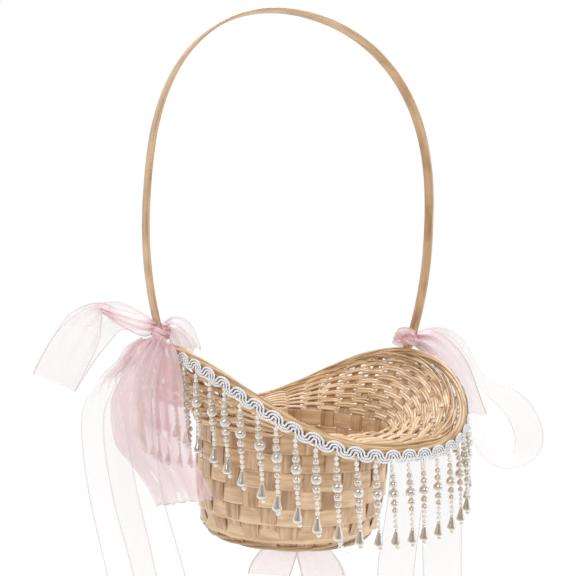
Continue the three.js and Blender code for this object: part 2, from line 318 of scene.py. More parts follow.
def organza_look(name, single, dense, glint):
    """Sheer ribbon: its cover attribute says how much of the view it hides, its selvedge attribute where
    the woven edge runs. Fine threads cross it, and where it is dense it has painted glints lengthways:
    near-white streaks mixed into its colour where the crumple noise peaks, as painted highlights."""
    look = Look(name, Roughness=0.3, Sheen_Weight=0.3, Sheen_Roughness=0.35)
    cover = look.attribute("cover")
    edge = look.attribute("selvedge")
    weave = {"Vector": look.uv(), "Scale": 5.0, "Distortion": 0.8}
    threads = look.node("TexWave", {"bands_direction": "X"}, weave)
    colour = look.mix(look.above(cover, 0.1, 0.7), single, dense)
    crumple = look.noise(look.stretched(0.55, glint), 1.0, 3.0)
    # painted highlight: near-white streaks mixed into the colour where the crumple peaks on dense cloth
    painted_glint = look.above(crumple, 0.60, 0.68) * look.above(cover, 0.3, 0.6) * 0.75
    colour = look.mix(painted_glint, colour, (0.95, 0.90, 0.90))
    look.feed(Base_Color=look.mix(edge * 0.8, colour, (0.50, 0.44, 0.44)))
    look.feed(Alpha=cover * (0.85 + threads * 0.3) + edge * 0.5)
    look.bump(crumple, 0.3, 0.002)
    return look.material


def plain_look(name, colour, roughness):
    return Look(name, Base_Color=(*colour, 1), Roughness=roughness).material


# ---- mesh tools ----------------------------------------------------------------------------------------


def unit(vectors):
    """Each vector divided by its own length."""
    return vectors / np.maximum(np.linalg.norm(vectors, axis=-1, keepdims=True), 1e-9)


def tangents(points, closed):
    """Unit direction along each path, by central differences."""
    if closed:
        return unit(np.roll(points, -1, -2) - np.roll(points, 1, -2))
    return unit(np.gradient(points, axis=-2))


def smooth(points, count):
    """A Catmull-Rom curve through the rows of points, sampled at count even parameters."""
    points = np.asarray(points, float)
    ends = 2 * points[:1] - points[1:2], 2 * points[-1:] - points[-2:-1]
    p = np.concatenate([ends[0], points, ends[1]])
    place = np.linspace(0, len(points) - 1, count)
    i = np.minimum(place.astype(int), len(points) - 2)
    t = (place - i)[:, None]
    a, b, c, d = p[i], p[i + 1], p[i + 2], p[i + 3]
    return 0.5 * (2 * b + (c - a) * t + (2 * a - 5 * b + 4 * c - d) * t**2 + (3 * b - a - 3 * c + d) * t**3)


def circle(sides):
    """Points at even turns round a circle of radius 1."""
    turn = np.arange(sides) * TAU / sides
    return np.stack([np.cos(turn), np.sin(turn)], -1)


def slab(wide, thick, sides=12):
    """A flat strip's section: a squared-off oval, wide by thick."""
    c, s = circle(sides).T
    across = np.sign(c) * np.abs(c) ** 0.25
    up = np.sign(s) * np.abs(s) ** 0.5
    return np.stack([across * wide / 2, up * thick / 2], -1)


def sweep(points, normals, section, closed=False, scale=1.0, tone=0.5, look=0):
    """A section carried along a path. Each ring is point + across * section x + normal * section y, with
    across = normal x tangent. Open ends shrink onto their centre, so they close."""
    along = tangents(points, closed)
    normals = unit(normals - along * np.sum(normals * along, -1, keepdims=True))
    across = np.cross(along, normals)
    size = np.broadcast_to(np.asarray(scale, float), (len(points),))
    rings = points[:, None] + size[:, None, None] * (
        across[:, None] * section[None, :, :1] + normals[:, None] * section[None, :, 1:]
    )
    if not closed:
        first = np.repeat(points[:1, None], len(section), 1)
        last = np.repeat(points[-1:, None], len(section), 1)
        rings = np.concatenate([first, rings, last])
    return {"rings": rings, "closed": closed, "round": True, "tone": tone, "look": look}


def sheet_grid(points, tone=0.5, look=0, **attributes):
    """An open sheet: a grid of points along and across."""
    return {
        "rings": points,
        "closed": False,
        "round": False,
        "tone": tone,
        "look": look,
        "extra": attributes,
    }


def faces_of(grid):
    """Quads of a grid: each joins a vertex, the next along, and their neighbours across."""
    n, m = grid["rings"].shape[:2]
    index = np.arange(n * m).reshape(n, m)
    if grid["closed"]:
        index = np.concatenate([index, index[:1]])
    if grid["round"]:
        index = np.concatenate([index, index[:, :1]], 1)
    quads = np.stack([index[:-1, :-1], index[:-1, 1:], index[1:, 1:], index[1:, :-1]], -1)
    return quads.reshape(-1, 4)


def uv_of(grid):
    """UV per face corner: centimetres along, and once round or across."""
    rings = grid["rings"]
    n, m = rings.shape[:2]
    middle = rings.mean(1)
    steps = np.linalg.norm(np.diff(middle, axis=0, append=middle[:1]), axis=-1)
    u = np.concatenate([[0], np.cumsum(steps)]) / 10
    v = np.arange(m + 1) / (m if grid["round"] else m - 1)
    rows = n if grid["closed"] else n - 1
    cols = m if grid["round"] else m - 1
    i, j = np.meshgrid(np.arange(rows), np.arange(cols), indexing="ij")
    corner = [(i, j), (i, j + 1), (i + 1, j + 1), (i + 1, j)]
    return np.stack([np.stack([u[a], v[b]], -1) for a, b in corner], 2).reshape(-1, 2)


def piece(name, grids, materials, flip=False, weld=True):
    """One mesh object of many grids, with UVs, a tone attribute and the sheets' own attributes."""
    verts, faces, uvs, tones, looks = [], [], [], [], []
    extra = {}
    start = 0
    for grid in grids:
        n, m = grid["rings"].shape[:2]
        quads = faces_of(grid)
        uv = uv_of(grid) + [grid["tone"] * 13.7, grid["tone"] * 5.3]
        if flip:
            quads = quads[:, ::-1]
            uv = uv.reshape(-1, 4, 2)[:, ::-1].reshape(-1, 2)
        verts.append(grid["rings"].reshape(-1, 3) * MM)
        faces.append(quads + start)
        uvs.append(uv)
        tones.append(np.full(n * m, grid["tone"]))
        looks.append(np.full(len(quads), grid["look"]))
        for key, value in grid.get("extra", {}).items():
            extra.setdefault(key, []).append(np.broadcast_to(value, (n, m)).reshape(-1))
        start += n * m
    verts, faces = np.concatenate(verts), np.concatenate(faces)
    mesh = bpy.data.meshes.new(name)
    mesh.vertices.add(len(verts))
    mesh.vertices.foreach_set("co", verts.ravel())
    mesh.loops.add(faces.size)
    mesh.loops.foreach_set("vertex_index", faces.ravel().astype(np.int32))
    mesh.polygons.add(len(faces))
    mesh.polygons.foreach_set("loop_start", np.arange(0, faces.size, 4, dtype=np.int32))
    mesh.update(calc_edges=True)
    mesh.uv_layers.new(name="UVMap").data.foreach_set("uv", np.concatenate(uvs).ravel())
    mesh.attributes.new("tone", "FLOAT", "POINT").data.foreach_set("value", np.concatenate(tones))
    for key, value in extra.items():
        mesh.attributes.new(key, "FLOAT", "POINT").data.foreach_set("value", np.concatenate(value))
    for material in materials:
        mesh.materials.append(material)
    mesh.polygons.foreach_set("material_index", np.concatenate(looks).astype(np.int32))
    mesh.polygons.foreach_set("use_smooth", np.ones(len(faces), bool))
    if weld:
        work = bmesh.new()
        work.from_mesh(mesh)
        bmesh.ops.remove_doubles(work, verts=work.verts, dist=1e-6)
        work.to_mesh(mesh)
        work.free()
    made = bpy.data.objects.new(name, mesh)
    bpy.context.collection.objects.link(made)
    return made


def show(made, body, slot, *nodes):
    """Says what a finished piece rides on and which nodes it stands for; the slot, its finish, is not used.
    """
    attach(made, body)
    if nodes:
        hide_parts(*nodes)


# ---- the basket's form ---------------------------------------------------------------------------------


def signed_power(value, power):
    """The value's size raised to a power, with its sign kept."""
    return np.sign(value) * np.abs(value) ** power


def rim_centre(angle):
    """Centre of the rim's bundle: in plan a superellipse, x by cos^0.75 and y by sin^0.94, and raised towards
    the handle's feet by |cos|^2.08."""
    c, s = np.cos(angle), np.sin(angle)
    x = signed_power(c, RIM_POWER[0]) * (RIM_HALF[0] - RIM_RADIUS)
    y = signed_power(s, RIM_POWER[1]) * (RIM_HALF[1] - RIM_RADIUS)
    z = RIM_SIDE_Z + (RIM_END_Z - RIM_SIDE_Z) * np.abs(c) ** RIM_POWER_Z - RIM_RADIUS
    return np.stack([x, y, z], -1)


def rim_outward(angle):
    """Level direction square to the rim, pointing out."""
    along = rim_centre(angle + 0.01) - rim_centre(angle - 0.01)
    return unit(np.stack([along[..., 1], -along[..., 0], 0 * along[..., 0]], -1))


def band_point(angle, height):
    """Middle of the lower wall: an ellipse that leans out quickly at its foot and then stands upright, by
    bulge * (1 - exp(-height / rise))."""
    out = BULGE * (1 - np.exp(-height / BULGE_RISE)) - BAND_THICK
    x = (BASE_HALF[0] + out) * np.cos(angle)
    y = (BASE_HALF[1] + out) * np.sin(angle)
    return np.stack([x, y, BASE_Z + height + 0 * x], -1)


def level_out(angle):
    """Level direction from the middle at a plan angle."""
    return np.stack([np.cos(angle), np.sin(angle), 0 * angle], -1)


def flare_point(angle, share):
    """Middle of the flared wall, from the lower wall's top at share 0 to the rim at share 1. It rises first
    and leans out later: up by 1.2 share - 0.2 share^2, out by 0.8 share + 0.2 share^2."""
    foot = band_point(angle, BAND_TOP)
    rim = rim_centre(angle)
    top = rim + unit(foot - rim) * (RIM_RADIUS + 0.3)
    share = np.broadcast_to(np.asarray(share, float), np.shape(angle))
    out = 0.8 * share + 0.2 * share**2
    up = 1.2 * share - 0.2 * share**2
    blend = np.stack([out, out, up], -1)
    return foot + (top - foot) * blend


def flare_normal(angle, share):
    """Outward normal of the flared wall: its direction round, crossed with its direction up."""
    step = 0.01
    along = flare_point(angle + step, share) - flare_point(angle - step, share)
    rise = flare_point(angle, share + step) - flare_point(angle, share - step)
    return unit(np.cross(along, rise))


def evened(wave):
    """A wave with flattened crests, as a weaver has where it lies on a stake."""
    return np.tanh(2.2 * wave) / math.tanh(2.2)


# ---- woven shell ---------------------------------------------------------------------------------------


def lower_wall(splint):
    """Six level rows of flat splint. Row j goes out and in by cos(angle * stakes / 2 + pi j)."""
    angle = np.arange(STAKES * 8) * TAU / (STAKES * 8)
    grids = []
    for row in range(BAND_ROWS):
        height = WALL_FOOT + (row + 0.5) * BAND_PITCH + 0.25 * np.sin(3 * angle + chance.uniform(0, TAU))
        wave = evened(np.cos(angle * STAKES / 2 + math.pi * row))
        points = band_point(angle, height) + level_out(angle) * (SPLINT_OUT * wave)[:, None]
        wide = BAND_PITCH * chance.uniform(0.96, 1.0)
        tone = 0.5 + 0.5 * chance.random()
        grids.append(sweep(points, level_out(angle), slab(wide, SPLINT_THICK), True, tone=tone))
    show(piece("lower_wall_rows", grids, [splint], weld=False), "basket", "splint", "lower_wall")


def stakes(splint):
    """The flat uprights, from under the base hoop to the rim. In the lower wall they weave against the rows,
    and in the flare they narrow."""
    height = np.linspace(BASE_TALL * 0.5, BAND_TOP, 50)
    share = np.linspace(0.05, 0.97, 24)
    narrow = np.concatenate([np.ones(len(height)), np.linspace(0.85, 0.5, len(share))])
    grids = []
    for i in range(STAKES):
        angle = TAU * i / STAKES + chance.uniform(-0.006, 0.006)
        low_angle, high_angle = np.full(len(height), angle), np.full(len(share), angle)
        row = (height - WALL_FOOT) / BAND_PITCH - 0.5
        wave = -STAKE_OUT * evened(np.cos(math.pi * (row + i)))
        low = band_point(low_angle, height) + level_out(low_angle) * wave[:, None]
        points = np.concatenate([low, flare_point(high_angle, share)])
        normal = np.concatenate([level_out(low_angle), flare_normal(high_angle, share)])
        section = slab(STAKE_WIDE * chance.uniform(0.95, 1.03), SPLINT_THICK)
        grids.append(sweep(points, normal, section, scale=narrow, tone=0.28 * chance.random()))
    show(piece("wall_stakes", grids, [splint]), "basket", "splint")


def flare_weavers(wicker):
    """Round wicker in pairs, over and under the stakes, on rows that fan out from the low sides to the ends.
    Row j lies at share (j + foot) / (rows + 1/4), and its rods thin where the rows crowd together."""
    steps = STAKES * 9
    angle = np.arange(steps) * TAU / steps
    grids = []
    for row in range(FLARE_ROWS):
        share = (row + FLARE_FOOT) * 2 * FLARE_STEP
        pitch = flare_point(angle, share + FLARE_STEP) - flare_point(angle, share - FLARE_STEP)
        radius = np.minimum(WICKER, np.linalg.norm(pitch, axis=-1) * 0.25)
        wave = evened(np.cos(angle * STAKES / 2 + math.pi * row))
        normal = flare_normal(angle, share)
        for side in (-1, 1):
            wander = 0.14 * np.sin(angle * chance.integers(3, 9) + chance.uniform(0, TAU))
            near = share + side * 0.46 * FLARE_STEP * (1 + wander)
            points = flare_point(angle, near) + normal * (wave * WEAVER_OUT + wander)[:, None]
            thick = radius.mean()
            grids.append(sweep(points, normal, circle(8) * thick, True, radius / thick, chance.random()))
    show(piece("flare_weavers", grids, [wicker], weld=False), "basket", "wicker", "upper_wall")


def rim_bundle(wicker):
    """The border: rods that wind round the rim's centre four times in one lap, and long rods that climb the
    inside of the flare at a slant until they lie beside them."""
    steps = 480
    angle = np.arange(steps) * TAU / steps
    outward = rim_outward(angle)
    grids = []
    for rod in range(RIM_RODS):
        turn = angle * 4 + TAU * rod / RIM_RODS
        points = rim_centre(angle) + outward * 1.7 * np.cos(turn)[:, None] + UP * 1.9 * np.sin(turn)[:, None]
        grids.append(sweep(points, outward, circle(8) * 1.3, True, tone=chance.random()))
    t = np.linspace(0, 1, 60)
    for i in range(RIM_CLIMBERS):
        angle = TAU * (i + 0.3 * chance.random()) / RIM_CLIMBERS + t * 1.1
        share = 0.83 + 0.165 * t**0.75 + 0.012 * np.sin(5 * t + i)
        lift = 2.0 * np.sin(math.pi * np.clip(3 * t, 0, 0.5)) + 0.7 * np.sin(2 * angle * 8 + math.pi * i)
        inside = flare_normal(angle, np.minimum(share, 0.97))
        points = flare_point(angle, share) - inside * lift[:, None]
        points[:, 2] += 1.2 * t
        radius = 0.92 * np.sin(math.pi * np.clip(t, 0.03, 0.97)) ** 0.35
        grids.append(sweep(points, inside, circle(7), False, radius, chance.random()))
    show(piece("rim_border", grids, [wicker]), "basket", "wicker", "rim_hoop")


def base_bundle(wicker):
    """The foot: rods round the base, which wind round each other three times in one lap."""
    steps = 288
    angle = np.arange(steps) * TAU / steps
    half = BASE_HALF - FOOT_IN
    outward = level_out(angle)
    middle = np.stack([half[0] * np.cos(angle), half[1] * np.sin(angle), 0 * angle + BASE_Z + FOOT_RISE], -1)
    grids = []
    for rod in range(FOOT_RODS):
        turn = angle * 3 + TAU * rod / FOOT_RODS
        points = middle + (outward * 1.5 * np.cos(turn)[:, None] + UP * 2.3 * np.sin(turn)[:, None])
        grids.append(sweep(points, outward, circle(8) * 1.4, True, tone=chance.random()))
    show(piece("base_bundle", grids, [wicker], weld=False), "basket", "wicker", "base_hoop")


def woven_floor(splint):
    """Flat splints in both directions, over and under, each as long as the oval allows:
    half * sqrt(1 - (offset / other half)^2)."""
    low, high = box_mm("woven_floor")
    half = BASE_HALF - 1.0
    middle = (low[2] + high[2]) / 2
    count = 5
    grids = []
    for axis in (0, 1):
        for k in range(-count, count + 1):
            off = k * FLOOR_PITCH
            reach = half[axis] * math.sqrt(max(1 - (off / half[1 - axis]) ** 2, 0.02)) - 2
            along = np.linspace(-reach, reach, 60)
            wave = (0.36 if axis else -0.36) * evened(np.cos(math.pi * (along / FLOOR_PITCH + k)))
            points = np.zeros((60, 3))
            points[:, axis] = along
            points[:, 1 - axis] = off
            points[:, 2] = middle + wave
            normal = np.broadcast_to(UP, points.shape)
            grids.append(sweep(points, normal, slab(FLOOR_WIDE, SPLINT_THICK * 0.9), tone=chance.random()))
    show(piece("floor_splints", grids, [splint]), "basket", "splint", "woven_floor")


def handle(bamboo):
    """The bent strip: a superellipse above its widest level, x by cos^0.95 and z by sin^0.76, a quarter
    ellipse below it, then down inside the weave of each end."""
    widest = STRIP_THICK / 2 - HOOP_RISE
    turn = np.linspace(math.pi / 2, 0, 60)
    top = np.stack([HOOP_HALF * np.cos(turn) ** 0.95, widest + HOOP_RISE * np.sin(turn) ** 0.76], -1)
    z = np.linspace(widest, -240, 20)[1:]
    leg = np.stack([HOOP_HALF * np.sqrt(1 - ((z - widest) / HOOP_DROP) ** 2), z], -1)
    rim = rim_centre(np.array([0.0]))[:, [0, 2]]
    tuck = flare_point(np.zeros(6), np.linspace(1, 0.52, 6))[:, [0, 2]]
    half = np.concatenate([top, leg, rim, tuck])
    flat = np.concatenate([half[::-1] * [-1, 1], half[1:]])
    flat = smooth(flat, 420)
    points = np.stack([flat[:, 0], 0 * flat[:, 0], flat[:, 1]], -1)
    along = tangents(points, False)
    normal = np.stack([-along[:, 2], 0 * along[:, 0], along[:, 0]], -1)
    strip = sweep(points, normal, slab(STRIP_WIDE - 0.2, STRIP_THICK - 0.1, 16), tone=0.5)
    show(piece("handle_strip", [strip], [bamboo]), "basket", "bamboo", "handle")


# ---- braid and fringe ----------------------------------------------------------------------------------


def rim_by_length():
    """A function that gives the plan angle at a share 0..1 of the rim's length, and that length."""
    angle = np.linspace(0, TAU, 1441)
    steps = np.linalg.norm(np.diff(rim_centre(angle), axis=0), axis=-1)
    length = np.concatenate([[0], np.cumsum(steps)])
    return lambda place: np.interp(np.mod(place, 1) * length[-1], length, angle), length[-1]


angle_at, rim_length = rim_by_length()


def rim_lift(angle):
    """Direction square to the rim and to its level outward, pointing up."""
    along = unit(rim_centre(angle + 0.01) - rim_centre(angle - 0.01))
    return unit(np.cross(rim_outward(angle), along))


def braid_point(place, out, up, lift=None):
    """A point on the braid: place is its share of the way round, out and up are from the rim's centre, and
    up runs along lift, or plumb without one."""
    angle = angle_at(place)
    way = UP if lift is None else lift(angle)
    out, up = np.asarray(out)[..., None], np.asarray(up)[..., None]
    return rim_centre(angle) + rim_outward(angle) * out + way * up


def gimp_braid(cord, gap_shade_strip):
    """Three cords side by side that scroll up and down on a strip coloured near black, which paints the shade
    in the gaps between them. Cord k goes over an arch of radius r and under the next of radius half a pitch
    less r, flattened to the braid's height, and leans as it rises."""
    pitch = rim_length / STRANDS
    cords = 3
    wide = pitch / 2 / cords
    flat = BRAID_TALL / pitch
    middle_up = BRAID_ABOVE - BRAID_TALL / 2
    grids = []
    for k in range(cords):
        radius = (k + 0.5) * wide
        under = pitch / 2 - radius
        turn = np.linspace(0, math.pi, 11)[:-1]
        first = np.stack([-radius * np.cos(turn), radius * np.sin(turn)], -1)
        second = np.stack([pitch / 2 - under * np.cos(turn), -under * np.sin(turn)], -1)
        wave = np.tile(np.concatenate([first, second]), (STRANDS, 1))
        number = np.repeat(np.arange(STRANDS), 2 * len(turn)) + 0.5
        up = wave[:, 1] * flat * 0.9
        place = (number * pitch + wave[:, 0] - 0.12 * up) / rim_length
        points = braid_point(place, BRAID_OUT, middle_up + up, rim_lift)
        outward = rim_outward(angle_at(place))
        grids.append(sweep(points, outward, circle(7) * wide * 0.31, True, tone=k / cords))
    # the strip behind the cords: its near-black colour is painted shade for the gaps between them
    place = np.arange(STRANDS * 6) / (STRANDS * 6)
    points = braid_point(place, BRAID_OUT - 0.8, middle_up, rim_lift)
    grids.append(sweep(points, rim_outward(angle_at(place)), slab(BRAID_TALL * 0.30, 0.4, 8), True, look=1))
    made = piece("gimp_scroll", grids, [cord, gap_shade_strip], weld=False)
    show(made, "basket", "braid", "gimp_braid")


SEED = 1.45
END_SEED = 1.5
# radii of the beads down a strand, above its teardrop and the end seed
BEADS = [SEED] * 2 + [1.95, 2.4, 3.3, 2.4, 1.95] + [SEED] * 3
TEAR_TALL = 10.0
TEAR_RADIUS = 3.1


def turned(profile, sides):
    """A solid of revolution round Z: profile rows are radius and height, from the top down."""
    c, s = circle(sides).T
    height = np.broadcast_to(profile[:, 1:], (len(profile), sides))
    return np.stack([profile[:, :1] * c, profile[:, :1] * s, height], -1)


def ball(radius, sides, rings):
    """A bead: radius * sin(turn) wide at height radius * cos(turn)."""
    turn = np.linspace(0, math.pi, rings)
    return turned(np.stack([radius * np.sin(turn), radius * np.cos(turn)], -1), sides)


def teardrop():
    """A drop: a cone that swells from a narrow neck and closes in a rounded end."""
    t = np.array([0, 0.02, 0.15, 0.32, 0.5, 0.66, 0.78, 0.88, 0.95, 0.99, 1.0])
    cone = 0.26 + 0.74 * np.clip(t / 0.86, 0, 1) ** 1.15
    close = np.sqrt(np.clip(1 - (np.clip(t - 0.80, 0, 1) / 0.20) ** 2.2, 0, 1))
    radius = TEAR_RADIUS * cone * close
    radius[0] = 0
    return turned(np.stack([radius, -t * TEAR_TALL], -1), 14)


def strand_grids(top, lean, sway):
    """The beads of one strand on their thread, hung from top. At a depth it has moved sideways in the bows'
    plane by tan(lean) * depth + sway * sin(pi * depth / 50)."""
    grids = []

    def place(at):
        aside = math.tan(lean) * at + sway * math.sin(at / 50 * math.pi)
        return top + BOW_RIGHT * aside - UP * at

    def bead(rings, at, look):
        solid = {"rings": rings + place(at), "closed": False, "round": True}
        grids.append({**solid, "tone": chance.random(), "look": look})

    depth = 0.0
    for radius in BEADS:
        seed = radius == SEED
        bead(ball(radius, 8 if seed else 12, 6 if seed else 9), depth + radius, 1 if seed else 0)
        depth += 2 * radius
    bead(teardrop(), depth, 0)
    depth += TEAR_TALL
    bead(ball(END_SEED, 8, 6), depth + 0.9, 1)
    line = np.array([place(at) for at in np.linspace(-2.0, depth, 12)])
    grids.append(sweep(line, np.broadcast_to(BOW_FRONT, line.shape), circle(5) * 0.28, look=2))
    return grids


def thread_knot(at):
    """The loose ends of a strand's thread, knotted below its last bead."""
    grids = []
    for right, up in ((5.5, -4.0), (3.5, -6.5), (-2.5, -4.5), (1.0, -3.0)):
        rows = [(0, 0, 1), (right * 0.4, up * 0.2, 2), (right * 0.7, up * 0.9, 2), (right, up, 1)]
        line = smooth(from_knot(at, rows), 14)
        grids.append(sweep(line, np.broadcast_to(BOW_FRONT, line.shape), circle(5) * 0.35, look=2))
    return grids


LOOSE = 42  # the strand whose thread ends show


def pearl_fringe(pearl, seed, thread):
    """Every node's two strands, with the header tape that joins them behind the braid."""
    places = (np.arange(STRANDS) + 0.5) / STRANDS
    under = BRAID_ABOVE - BRAID_TALL + 0.4
    tops = braid_point(places, BRAID_OUT - 0.3, under)
    for node in range(STRANDS // PER_NODE):
        name = f"pearl_strands_{node + 1:02d}"
        mine = range(node * PER_NODE, (node + 1) * PER_NODE)
        grids = []
        for i in mine:
            lean = STRAND_LEAN - 0.03 * tops[i] @ BOW_RIGHT / 110 + chance.uniform(-0.03, 0.03)
            grids += strand_grids(tops[i], lean, chance.uniform(-0.7, 0.7))
            if i == LOOSE:
                drop = 2 * sum(BEADS) + TEAR_TALL + 2
                grids += thread_knot(tops[i] + BOW_RIGHT * math.tan(lean) * drop - UP * drop)
        tape = np.linspace(places[mine[0]], places[mine[-1]], 8)
        points = braid_point(tape, BRAID_OUT - 0.9, under + 1.0)
        grids.append(sweep(points, rim_outward(angle_at(tape)), slab(1.2, 0.5, 8), look=2))
        show(piece(name + "_beads", grids, [pearl, seed, thread]), name, "pearl", name)


# ---- organza -------------------------------------------------------------------------------------------


def from_knot(knot, rows):
    """Rows of right, up and front, in the bow's plane, as points in the frame."""
    rows = np.asarray(rows, float)
    return knot + rows[..., :1] * BOW_RIGHT + rows[..., 1:2] * UP + rows[..., 2:3] * BOW_FRONT


def ribbon_sheet(name, knot, rows, organza, steps=90, across=48, pleats=3, sheer=0.21):
    """A ribbon through rows of (right, up, front, width, direction across). Its centre and its width vector
    are smooth curves through the rows. Where it is held narrower than it was cut it stands in pleats, a sine
    whose depth keeps the cloth's width: depth = width / (4 pleats) * sqrt((cut / width)^2 - 1)."""
    centre = smooth([row[:3] for row in rows], steps)
    vector = smooth([np.array(row[4]) / np.linalg.norm(row[4]) * row[3] for row in rows], steps)
    wide = np.linalg.norm(vector, axis=-1)
    ratio = np.maximum(RIBBON / wide, 1)
    depth = wide / (4 * pleats) * np.sqrt(ratio**2 - 1)
    t = np.linspace(-0.5, 0.5, across + 1)
    along = tangents(centre, False)
    normal = unit(np.cross(vector, along))
    ripple = depth[:, None] * np.sin(TAU * pleats * t + 0.8)[None]
    roll = 0.1 * wide[:, None] * (t**2 - 0.08)[None]
    across_at = vector[:, None] * t[None, :, None]
    local = centre[:, None] + across_at + normal[:, None] * (ripple + roll)[..., None]
    cover = sheer * (1 + 0.9 * (ratio - 1))
    edge = np.clip((np.abs(t) * 2 - 0.93) / 0.05, 0, 1)
    grid = sheet_grid(
        from_knot(knot, local),
        tone=0.3,
        cover=np.broadcast_to(cover[:, None], local.shape[:2]),
        selvedge=np.broadcast_to(edge[None], local.shape[:2]),
    )
    made = piece(name, [grid], [organza], weld=False)
    length = np.linalg.norm(np.diff(centre, axis=0), axis=-1).sum()
    return made, (RIBBON * MM, length * MM)


# rows of right, up, front, width and direction across, from the knot
LEFT_LOOP = [
    (-3, 3, 3, 8, (0, 1, 0.2)),
    (-13, 3, 5, 14, (-0.25, 1, 0.2)),
    (-28, 8, 6, 12, (-0.2, 1, 0.4)),
    (-37, 13, 7, 8, (-0.1, 1, 0.8)),
    (-42, 10, 7, 16, (-0.6, 0.9, 0.8)),
    (-49, 0, 6, 28, (-0.72, 0.7, 0.6)),
    (-58, -17, 5, 31, (-0.8, 0.55, 0.55)),
    (-66, -33, 2, 32, (-0.72, 0.38, 0.58)),
    (-68, -37, -1, 32, (-0.72, 0.38, 0.58)),
    (-66, -30, -5, 32, (-0.75, 0.42, 0.4)),
    (-57, -12, -8, 32, (-0.8, 0.55, 0.1)),
    (-44, 2, -9, 28, (-0.62, 0.78, 0.1)),
    (-29, 9, -8, 20, (-0.1, 1, 0.2)),
    (-12, 6, -5, 11, (0, 1, 0.2)),
    (-3, 2, -2, 7, (0, 1, 0)),
]
LEFT_SMALL = [
    (2, 3, 3, 7, (0, 1, 0.3)),
    (8, 5, 5, 13, (0.2, 1, 0.3)),
    (14, 1, 6, 18, (0.7, 0.9, 0.2)),
    (18, -8, 4, 19, (1, 0.3, 0.2)),
    (17, -11, 1, 19, (1, 0.2, 0.2)),
    (12, -5, -1, 16, (0.9, 0.6, 0.2)),
    (7, 0, -1, 11, (0.3, 1, 0.2)),
    (1, 1, 0, 7, (0, 1, 0)),
]
LEFT_TAIL_FRONT = [
    (1, -4, 11, 9, (1, 0, 0.2)),
    (-3, -14, 21, 16, (1, 0, 0.1)),
    (-9, -34, 31, 26, (1, 0, 0)),
    (-11, -56, 34, 32, (1, 0.05, 0)),
    (-3, -98, 36, 32, (1, 0.1, 0.1)),
    (15, -158, 30, 32, (1, 0.12, 0)),
    (24, -216, 26, 32, (1, 0.35, 0)),
]
LEFT_TAIL_BACK = [
    (-8, -6, 3, 8, (1, -0.3, 0.4)),
    (-17, -15, 7, 13, (0.6, -0.6, 0.5)),
    (-24, -24, 9, 16, (0.2, -0.4, 0.9)),
    (-31, -34, 10, 22, (0.7, 0.1, 0.7)),
    (-32, -56, 13, 30, (1, 0.1, 0.25)),
    (-22, -100, 19, 32, (1, 0.15, 0.1)),
    (-6, -160, 15, 32, (1, 0.15, 0.1)),
    (4, -217, 9, 32, (1, -0.3, 0)),
]
RIGHT_LOOP = [
    (3, 2, -1, 6, (0.1, 1, 0.2)),
    (20, 6, -5, 12, (0.1, 0.9, 0.4)),
    (36, 2, -10, 20, (0.3, 0.6, 0.8)),
    (48, -11, -14, 26, (0.3, 0.3, 0.95)),
    (61, -29, -16, 30, (0.25, 0.15, 0.98)),
    (80, -41, -16, 32, (0.4, 0.32, 0.87)),
    (94, -52, -16, 32, (0.48, 0.32, 0.82)),
    (103, -66, -16, 32, (0.56, 0.12, 0.82)),
    (106, -80, -16, 32, (0.46, 0, 0.89)),
    (103, -90, -16, 32, (0.26, -0.07, 0.96)),
    (97, -96, -16, 32, (0.05, -0.08, 1)),
    (88, -97, -16, 32, (-0.1, -0.24, 0.96)),
    (78, -94, -16, 32, (-0.16, -0.34, 0.93)),
    (69, -86, -16, 32, (-0.19, -0.45, 0.87)),
    (61, -72, -16, 32, (-0.35, -0.38, 0.85)),
    (56, -59, -19, 30, (-0.4, -0.25, 0.88)),
    (45, -39, -18, 22, (-0.6, -0.3, 0.74)),
    (29, -17, -12, 14, (-0.7, -0.5, 0.4)),
    (4, -1, -4, 6, (-0.5, -0.8, 0.2)),
]
RIGHT_STUB = [
    (2, 2, 3, 14, (0.1, 0.6, 0.8)),
    (-4, 4, 3, 24, (0.1, 0.42, 0.9)),
    (-9, 4, 2, 27, (0.05, 0.4, 0.92)),
    (-12, 2, 1, 28, (0, 0.4, 0.92)),
    (-9, 0, -1, 27, (0, 0.4, 0.92)),
    (-4, -1, -2, 22, (0, 0.5, 0.87)),
    (1, 0, -2, 12, (0, 0.6, 0.8)),
]
RIGHT_FALL = [
    (4, 2, 5, 10, (0.3, 1, 0.1)),
    (14, 1, 6, 16, (0.6, 1, 0.3)),
    (26, -8, 8, 21, (0.7, 0.9, 0.6)),
    (37, -22, 9, 24, (0.7, 0.6, 0.9)),
    (45, -38, 8, 26, (0.7, 0.2, 1.2)),
    (53, -57, 7, 29, (0.7, 0.1, 1.3)),
]
RIGHT_TAIL_FRONT = [
    (8, -9, -2, 8, (1, 0.2, 0)),
    (18, -28, -5, 20, (1, 0.2, 0)),
    (26, -60, -5, 30, (1, 0.1, 0.1)),
    (33, -125, -5, 32, (1, 0, 0.2)),
    (36, -180, -4, 32, (1, -0.05, 0.1)),
    (38, -212, -4, 32, (1, 0.4, 0)),
]
RIGHT_TAIL_BACK = [
    (3, -9, -8, 8, (1, 0.1, 0)),
    (6, -30, -20, 20, (1, 0.1, 0)),
    (8, -62, -27, 30, (1, 0, 0)),
    (8, -130, -28, 32, (1, 0, -0.2)),
    (3, -185, -28, 32, (1, 0.05, 0)),
    (2, -213, -28, 32, (1, -0.35, 0)),
]
LOWER_LOOP = [
    (1, 0, 3, 8, (1, 0.3, 0.2)),
    (7, -6, 5, 18, (1, 0.5, 0.2)),
    (14, -15, 6, 27, (1, 0.35, 0.2)),
    (19, -26, 4, 32, (1, 0.2, 0.25)),
    (20, -32, 0, 32, (1, 0.15, 0.25)),
    (17, -24, -5, 31, (1, 0.2, 0.2)),
    (9, -12, -6, 22, (1, 0.4, 0.2)),
    (1, -2, -3, 8, (1, 0.3, 0.2)),
]


